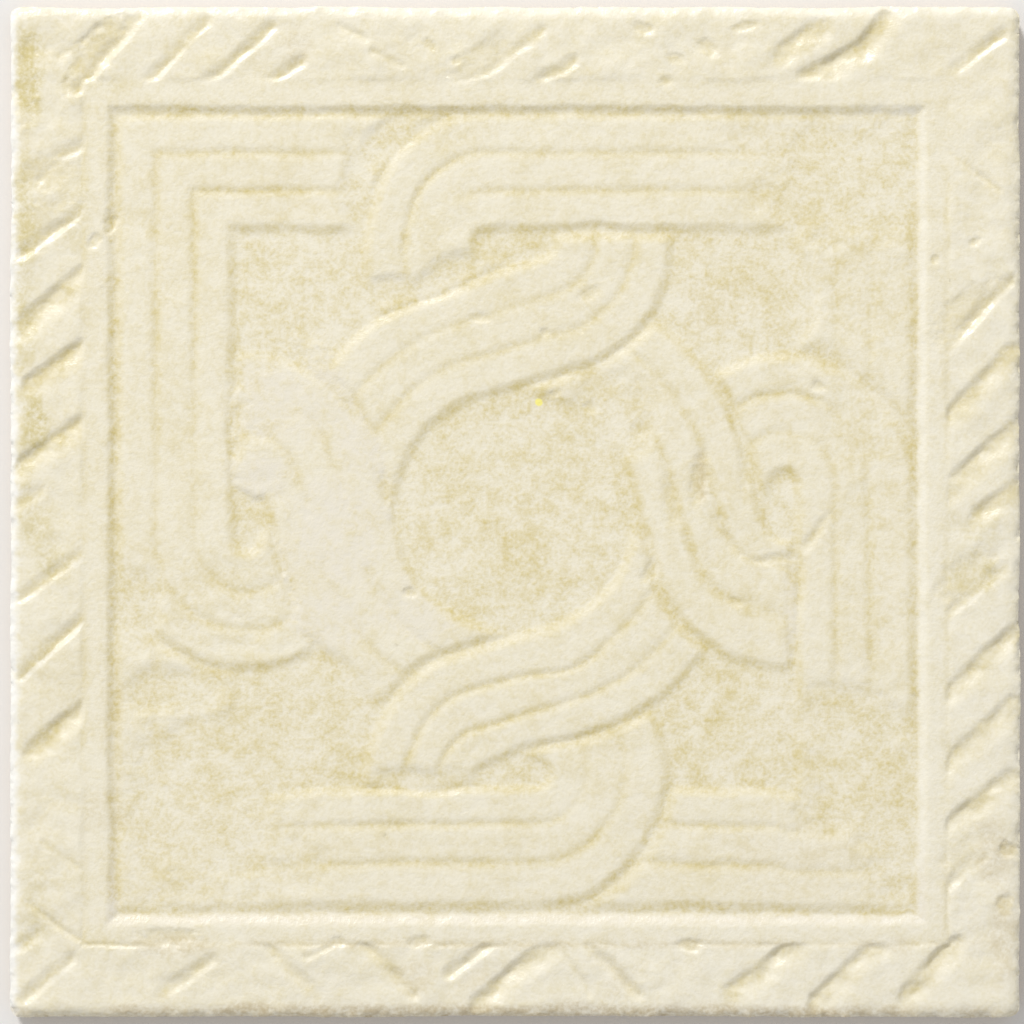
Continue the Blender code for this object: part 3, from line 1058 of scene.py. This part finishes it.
    def noted(self, shape: bpy.types.NodeSocket, name: str, value: Term) -> bpy.types.NodeSocket:
        """Keep a note on each point of the face.

        Args:
            shape: The socket that gives the face.
            name: The note's name.
            value: What is kept.

        Returns:
            The socket that gives the face with its note.
        """
        note = self.tree.nodes.new("GeometryNodeStoreNamedAttribute")
        note.domain = "POINT"
        note.inputs["Name"].default_value = name
        self.tree.links.new(shape, note.inputs["Geometry"])
        feed(value, note.inputs["Value"])
        return note.outputs["Geometry"]

    def finish_shape(self, height: Term, notes: dict[str, Term]) -> None:
        """Place the grid's points, keep notes of the face on them, and give the result its material.

        Args:
            height: The face's height at each point.
            notes: What the material reads, by the name of its attribute.
        """
        nodes = self.tree.nodes
        links = self.tree.links
        half = self.given("Half Side")
        wall = self.given("Wall Reach")
        rim = self.x.size().at_least(self.y.size()).climb(half - self.RIM_WIDTH, half)
        wave = self.seeded(16 * MM, 9) * self.RIM_SWELL + self.seeded(2.5 * MM, 10) * self.RIM_RIPPLE
        inset = (self.depth - (wall - self.given("Wall Foot"))).at_least(0.0)
        scale = 1.0 + (wave * rim - inset) / half
        grid = nodes.new("GeometryNodeMeshGrid")
        size = (half + wall) * 2.0
        feed(size, grid.inputs["Size X"])
        feed(size, grid.inputs["Size Y"])
        feed(self.given("Grid Points"), grid.inputs["Vertices X"])
        feed(self.given("Grid Points"), grid.inputs["Vertices Y"])
        shape = grid.outputs["Mesh"]
        for name, value in notes.items():
            shape = self.noted(shape, name, value)
        place = nodes.new("GeometryNodeSetPosition")
        links.new(shape, place.inputs["Geometry"])
        z = height * (1.0 - self.depth / wall)
        feed(vector(self.x * scale, self.y * scale, z), place.inputs["Position"])
        # Painted highlight: note how far each point faces the light, up and to the left, for the glaze to
        # take grain off it
        facing = Term(self.tree, nodes.new("GeometryNodeInputNormal").outputs["Normal"])
        facing_x, facing_y, _ = parts(facing)
        shape = self.noted(place.outputs["Geometry"], LIT, (facing_y - facing_x).climb(0.08, 0.5))
        paint = nodes.new("GeometryNodeSetMaterial")
        links.new(shape, paint.inputs["Geometry"])
        feed(self.given("Material"), paint.inputs["Material"])
        out = nodes.new("NodeGroupOutput")
        links.new(paint.outputs["Geometry"], out.inputs["Geometry"])


def set_inputs(modifier: bpy.types.NodesModifier, values: dict[str, object]) -> None:
    """Set a modifier's inputs by their sockets' identifiers.

    Args:
        modifier: A Geometry Nodes modifier whose tree is set.
        values: The value of each named input.
    """
    for item in modifier.node_group.interface.items_tree:
        if item.item_type == "SOCKET" and item.in_out == "INPUT" and item.name in values:
            modifier[item.identifier] = values[item.name]


def plain_mesh(obj: bpy.types.Object, name: str) -> bpy.types.Mesh:
    """Keep an object's evaluated shape.

    Args:
        obj: The object, with its modifiers.
        name: What the mesh is called.

    Returns:
        The shape as a mesh of its own.
    """
    graph = bpy.context.evaluated_depsgraph_get()
    mesh = bpy.data.meshes.new_from_object(obj.evaluated_get(graph), depsgraph=graph)
    mesh.name = name
    return mesh


# The glaze

Colour = tuple[float, float, float, float]


def linear(red: float, green: float, blue: float) -> Colour:
    """Turn a colour of a picture into the shader's own light values.

    Args:
        red: Its red, from 0 to 255.
        green: Its green.
        blue: Its blue.

    Returns:
        The light values, of full opacity.
    """

    def channel(value: float) -> float:
        """The light value of one channel."""
        share = value / 255
        return share / 12.92 if share <= 0.04045 else ((share + 0.055) / 1.055) ** 2.4

    return (channel(red), channel(green), channel(blue), 1.0)


def mix_colour(share: Term, none: Term | Colour, full: Term | Colour) -> Term:
    """Mix two colours.

    Args:
        share: Nought for the first, one for the second.
        none: The first colour.
        full: The second colour.

    Returns:
        The mixed colour.
    """
    node = share.tree.nodes.new("ShaderNodeMix")
    node.data_type = "RGBA"
    feed(share, node.inputs["Factor"])
    first, second = (socket for socket in node.inputs if socket.type == "RGBA")
    feed(none, first)
    feed(full, second)
    return Term(share.tree, next(socket for socket in node.outputs if socket.type == "RGBA"))


@dataclass(frozen=True)
class IvoryGlaze:
    """The finish of the tile: a satin ivory glaze with tan grain and painted shade in its hollows and
    painted highlights where it faces the light, over a bare clay back.
    """

    half_side: float
    field_reach: float
    glaze: Colour = linear(244, 237, 216)
    grain: Colour = linear(217, 200, 136)
    thick_glaze: Colour = linear(239, 232, 216)
    # The white of the painted highlights
    rim: Colour = linear(252, 251, 248)
    ochre: Colour = linear(204, 187, 108)
    # The brown of the stains, also used as painted shade
    brown_stain_and_shade_colour: Colour = linear(196, 178, 142)
    yellow: Colour = linear(255, 244, 140)
    clay: Colour = linear(214, 190, 158)
    glaze_roughness: float = 0.33
    clay_roughness: float = 0.85
    fine_grain: float = 0.8 * MM
    middle_grain: float = 2.4 * MM
    broad_grain: float = 9.0 * MM
    grain_bump: float = 0.028 * MM
    glaze_foot: float = 5.0 * MM
    foot_wave: float = 0.8 * MM
    foot_blur: float = 0.4 * MM
    edge_wave: float = 0.9 * MM
    # Where and how strongly the painted highlights fall: the left and upper rounded edges, the frame's
    # lower right inner slopes and the lit lips of the rope's grooves
    left_edge: tuple[float, float] = (0.3 * MM, 2.4 * MM)
    left_white: float = 0.75
    top_edge: tuple[float, float] = (0.3 * MM, 2.8 * MM)
    top_white: float = 0.15
    border_blur: float = 2.0 * MM
    border_white: float = 0.12
    highlight_white: float = 0.7
    spot_wave: float = 0.15 * MM

    def build(self) -> bpy.types.Material:
        """Make the material.

        Returns:
            The material, named after the slot.
        """
        material = bpy.data.materials.new(SLOT)
        material.use_nodes = True
        tree = material.node_tree
        shader = tree.nodes["Principled BSDF"]
        place = Term(tree, tree.nodes.new("ShaderNodeTexCoord").outputs["Object"])
        fine = noise(place, self.fine_grain, 5.1, 2.0, 0.6)
        middle = noise(place, self.middle_grain, 6.3, 2.0, 0.6)
        broad = noise(place, self.broad_grain, 7.9, 2.0, 0.6)
        height = parts(place)[2] + broad * self.foot_wave
        glazed = height.climb(self.glaze_foot - self.foot_blur, self.glaze_foot + self.foot_blur)
        colour = self.grained_and_shaded(self.glaze, fine * 0.5 + middle * 0.5 + broad * 0.35)
        # Painted highlight on the edges, slopes and lips that face the light
        painted_highlight = self.painted_edge_highlight(place, middle).at_least(self.note(tree, PAINTED_HIGHLIGHT) * self.highlight_white)
        colour = mix_colour(painted_highlight, colour, self.rim)
        colour = self.stained(colour, place, fine + middle)
        feed(mix_colour(glazed, self.clay, colour), shader.inputs["Base Color"])
        feed(glazed.between(self.clay_roughness, self.glaze_roughness), shader.inputs["Roughness"])
        bump = tree.nodes.new("ShaderNodeBump")
        bump.inputs["Distance"].default_value = 1.0
        feed((fine + middle) * self.grain_bump, bump.inputs["Height"])
        tree.links.new(bump.outputs["Normal"], shader.inputs["Normal"])
        return material

    def note(self, tree: bpy.types.NodeTree, name: str) -> Term:
        """Read a note that the height rule has kept on the mesh.

        Args:
            tree: The material's tree.
            name: The note's name.

        Returns:
            Its value.
        """
        node = tree.nodes.new("ShaderNodeAttribute")
        node.attribute_name = name
        return Term(tree, node.outputs["Fac"])

    def grained_and_shaded(self, base: Colour, mottle: Term) -> Term:
        """Lay tan grain over the glaze, with painted shade in the hollows and a painted highlight where
        the face turns to the light.

        Args:
            base: The glaze's own colour.
            mottle: The noise that the grain follows.

        Returns:
            The colour: thick grain on the ground and in the hollows, deepened there as painted shade; less
                grain on what is raised, and less on what faces the light as a painted highlight; and the
                coated colour, which also dims the frame's lower inner slope as painted shade.
        """
        raised = self.note(mottle.tree, RAISED)
        hollow_grain_and_shade = self.note(mottle.tree, HOLLOW_GRAIN_AND_SHADE)
        amount = mottle.climb(-0.6, 1.1) * raised.between(1.0, 0.5)
        # Painted shade: the note of the hollows adds grain there
        amount = (amount + hollow_grain_and_shade * 0.5 * mottle.climb(-2.5, 1.5)).share()
        # Painted highlight: less grain where the face turns to the light
        amount = amount * self.note(mottle.tree, LIT).between(1.0, 0.45)
        # Real thick glaze in the coated patches, and painted shade on the frame's lower inner slope
        thick = self.note(mottle.tree, COATED) * mottle.climb(1.2, -1.0)
        return mix_colour(thick, mix_colour(amount, base, self.grain), self.thick_glaze)

    def painted_edge_highlight(self, place: Term, mottle: Term) -> Term:
        """Find where to paint highlights on the edges and slopes that face the light.

        Args:
            place: The point on the tile.
            mottle: A noise that breaks the outlines up.

        Returns:
            How white the painted highlight is: at the left and upper edges, and on the border at the lower
                right.
        """
        x, y, _ = parts(place)
        rough = mottle * self.edge_wave
        at_left = (1.0 - (x + self.half_side + rough).climb(*self.left_edge)) * self.left_white
        at_top = (1.0 - (self.half_side - y + rough).climb(*self.top_edge)) * self.top_white
        reach = x.size().at_least(y.size())
        on_border = reach.climb(self.field_reach, self.field_reach + self.border_blur)
        low_right = (x - y).climb(-0.6 * self.half_side, 1.6 * self.half_side)
        return at_left.at_least(at_top).at_least(low_right * on_border * self.border_white)

    def stained(self, colour: Term, place: Term, mottle: Term) -> Term:
        """Add the stains, the brown patches that also hold painted shade, and the yellow spot.

        Args:
            colour: The colour without them.
            place: The point on the tile.
            mottle: A noise that breaks them up.

        Returns:
            The colour with them.
        """
        thickness = mottle.climb(-1.5, 1.2)
        colour = mix_colour(self.note(mottle.tree, OCHRE) * thickness, colour, self.ochre)
        # Brown stains, and painted shade on the frame's slopes and in a slot
        colour = mix_colour(self.note(mottle.tree, DIRTY) * thickness, colour, self.brown_stain_and_shade_colour)
        x, y, _ = parts(place)
        spot_x, spot_y = YELLOW_SPOT
        from_spot = both(x - spot_x, y - spot_y) + mottle * self.spot_wave
        spot = 1.0 - from_spot.climb(YELLOW_SPOT_RADIUS * 0.6, YELLOW_SPOT_RADIUS)
        return mix_colour(spot, colour, self.yellow)


# The tile


@dataclass
class BackChannels:
    """The shallow channels in the back that hold the adhesive."""

    depth: float = 0.5 * MM
    width: float = 9.0 * MM
    pitch: float = 15.0 * MM
    length: float = 176.0 * MM
    count: int = 12

    def cutter(self) -> bpy.types.Object:
        """Make the bars that are cut out of the back.

        Returns:
            All of them as one object.
        """
        bm = bmesh.new()
        size = Matrix.Diagonal((self.width, self.length, 2 * self.depth, 1.0))
        for number in range(self.count):
            middle = (number - (self.count - 1) / 2) * self.pitch
            bmesh.ops.create_cube(bm, size=1.0, matrix=Matrix.Translation((middle, 0.0, 0.0)) @ size)
        mesh = bpy.data.meshes.new("back_channels")
        bm.to_mesh(mesh)
        bm.free()
        return placed("back_channels", mesh)


@dataclass
class Tile:
    """The fired tile, as one closed mesh."""

    pattern: Pattern
    relief: Relief
    finish: IvoryGlaze
    channels: BackChannels
    grid_step: float = 0.29 * MM
    quick_grid_step: float = 0.5 * MM
    most_triangles: int = 184_000
    sharp_angle: float = math.radians(50)
    back_normal: float = -0.9

    def guides(self) -> dict[str, bpy.types.Object]:
        """Make the lines that the height rule measures from.

        Returns:
            The guides, by the name of the tree's input that takes each.
        """
        pattern = self.pattern
        found = {}
        for number in range(4):
            own = [turned(band_line(pattern), number)]
            over = [
                turned(line_over_left_neighbour(pattern), number - 1),
                turned(line_over_right_neighbour(pattern), number + 1),
            ]
            found[f"Band {number}"] = line_guide(f"guide_band_{number}", own)
            found[f"Over Band {number}"] = line_guide(f"guide_over_band_{number}", over)
        for cut in Cut:
            grooves = [[Vector(end) * MM for end in ends] for ends in ROPE_GROOVES[cut]]
            found[cut.guide_name()] = line_guide(f"guide_{cut.name.lower()}_grooves", grooves)
        return found

    def sizes(self) -> dict[str, float]:
        """The height rule's sizes, by the name of its input."""
        found = vars(self.pattern) | vars(self.relief)
        return {name: found[name.lower().replace(" ", "_")] for name in HeightRule.SIZES}

    def face_and_walls(self, material: bpy.types.Material) -> bpy.types.Object:
        """Make the face and the walls with the height rule.

        Args:
            material: What they are made of.

        Returns:
            Them as one open mesh.
        """
        guides = self.guides()
        wall_reach = self.relief.wall_reach()
        step = self.grid_step
        grid_points = round(2 * (self.pattern.half_side + wall_reach) / step) + 1
        holder = placed("height_rule_holder", bpy.data.meshes.new("height_rule_holder"))
        modifier = holder.modifiers.new("height rule", "NODES")
        modifier.node_group = HeightRule(guides, self.pattern).build()
        values = {"Wall Reach": wall_reach, "Grid Points": grid_points, "Material": material}
        set_inputs(modifier, self.sizes() | guides | values)
        mesh = plain_mesh(holder, NODE + "_visual")
        for spent in (holder, *guides.values()):
            bpy.data.objects.remove(spent, do_unlink=True)
        return placed(NODE + "_visual", mesh)

    def close_back(self, tile: bpy.types.Object) -> None:
        """Fill the open back with one flat face."""
        bm = bmesh.new()
        bm.from_mesh(tile.data)
        bmesh.ops.contextual_create(bm, geom=[edge for edge in bm.edges if edge.is_boundary])
        bmesh.ops.triangulate(bm, faces=[face for face in bm.faces if len(face.verts) > 4])
        bmesh.ops.recalc_face_normals(bm, faces=bm.faces)
        bm.to_mesh(tile.data)
        bm.free()

    def thin_out(self, tile: bpy.types.Object) -> None:
        """Merge the triangles of the flattest places until the mesh is light enough."""
        tile.data.calc_loop_triangles()
        count = len(tile.data.loop_triangles)
        if count > self.most_triangles:
            modifier = tile.modifiers.new("thin out", "DECIMATE")
            modifier.ratio = self.most_triangles / count
            self.settle(tile)
        log.info("tile thinned out from %d triangles to %d faces", count, len(tile.data.polygons))

    def cut_channels(self, tile: bpy.types.Object) -> None:
        """Cut the channels out of the back."""
        cutter = self.channels.cutter()
        modifier = tile.modifiers.new("channels", "BOOLEAN")
        modifier.object = cutter
        modifier.operation = "DIFFERENCE"
        modifier.solver = "EXACT"
        self.settle(tile)
        bpy.data.objects.remove(cutter, do_unlink=True)

    def shade(self, tile: bpy.types.Object) -> None:
        """Shade the face and the walls smoothly between sharp edges, and the flat back as it is."""
        tile.data.shade_smooth()
        tile.data.set_sharp_from_angle(angle=self.sharp_angle)
        for face in tile.data.polygons:
            face.use_smooth = face.normal.z > self.back_normal

    def settle(self, tile: bpy.types.Object) -> None:
        """Turn the tile's modifiers into its plain mesh."""
        mesh = plain_mesh(tile, tile.data.name)
        tile.modifiers.clear()
        tile.data = mesh

    def build(self) -> bpy.types.Object:
        """Make the tile and put it in the place of its solid.

        Returns:
            The tile's object.
        """
        tile = self.face_and_walls(self.finish.build())
        self.close_back(tile)
        self.thin_out(tile)
        self.cut_channels(tile)
        self.shade(tile)
        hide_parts(NODE)
        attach(tile, BODY)
        return tile


# The studio


@dataclass(frozen=True)
class Studio:
    """A plain pale floor, soft light from the upper left, and a camera that looks straight down."""

    picture_side: int = 1024
    tile_side_in_picture: int = 1010
    tile_middle_in_picture: tuple[float, float] = (515.0, 512.0)
    lens: float = 200.0
    sensor: float = 36.0
    key_power: float = 62.0
    key_distance: float = 3.0
    key_diameter: float = 0.7
    key_height: float = math.radians(38)
    key_bearing: float = math.radians(114)
    sky_strength: float = 0.55
    floor_reach: float = 3.0
    floor_colour: Colour = linear(236, 235, 233)
    floor_roughness: float = 0.9

    def floor(self) -> None:
        """Make the floor that the tile lies on."""
        bm = bmesh.new()
        bmesh.ops.create_grid(bm, x_segments=1, y_segments=1, size=self.floor_reach)
        mesh = bpy.data.meshes.new("floor")
        bm.to_mesh(mesh)
        bm.free()
        material = bpy.data.materials.new("pale_floor")
        material.use_nodes = True
        shader = material.node_tree.nodes["Principled BSDF"]
        shader.inputs["Base Color"].default_value = self.floor_colour
        shader.inputs["Roughness"].default_value = self.floor_roughness
        mesh.materials.append(material)
        floor = placed("floor", mesh)

    def lights(self) -> None:
        """Make the sky and one raking lamp, near enough for its light to fall off across the tile."""
        world = bpy.data.worlds.new("studio")
        world.use_nodes = True
        sky = world.node_tree.nodes["Background"]
        sky.inputs["Color"].default_value = (1.0, 1.0, 1.0, 1.0)
        sky.inputs["Strength"].default_value = self.sky_strength
        bpy.context.scene.world = world
        data = bpy.data.lights.new("key", "AREA")
        data.shape = "DISK"
        data.size = self.key_diameter
        data.energy = self.key_power
        key = placed("key", data)
        level = math.cos(self.key_height)
        bearing = self.key_bearing
        away = Vector((math.cos(bearing) * level, math.sin(bearing) * level, math.sin(self.key_height)))
        key.location = away * self.key_distance
        key.rotation_mode = "QUATERNION"
        key.rotation_quaternion = away.to_track_quat("Z", "Y")

    def camera(self, side: float, top: float) -> None:
        """Make the camera.

        Args:
            side: The tile's side, in metres.
            top: The height of its face, in metres.
        """
        scale = side / self.tile_side_in_picture
        seen = scale * self.picture_side
        data = bpy.data.cameras.new("camera")
        data.lens = self.lens
        data.sensor_width = self.sensor
        camera = placed("camera", data)
        middle = self.picture_side / 2
        off_x = (middle - self.tile_middle_in_picture[0]) * scale
        off_y = (self.tile_middle_in_picture[1] - middle) * scale
        camera.location = (off_x, off_y, top + seen * self.lens / self.sensor)
        bpy.context.scene.camera = camera

    def build(self, side: float, top: float) -> None:
        """Make all of it.

        Args:
            side: The tile's side, in metres.
            top: The height of its face, in metres.
        """
        self.floor()
        self.lights()
        self.camera(side, top)
        bpy.context.scene.view_settings.view_transform = "Standard"
        log.info("studio: floor, sky, key light and camera")


def main() -> None:
    """Build the tile, then the studio round it."""
    logging.basicConfig(level=logging.INFO, format="%(name)s: %(message)s")
    low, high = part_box(NODE)
    side = high.x - low.x
    pattern = Pattern(half_side=side / 2)
    relief = Relief(ground_level=8.0 * MM)
    finish = IvoryGlaze(half_side=pattern.half_side, field_reach=pattern.frame_foot)
    tile = Tile(pattern, relief, finish, BackChannels()).build()
    tile.data.calc_loop_triangles()
    log.info("piece %s: %d triangles", tile.name, len(tile.data.loop_triangles))
    Studio().build(side, high.z)


if __name__ == "__main__":
    main()
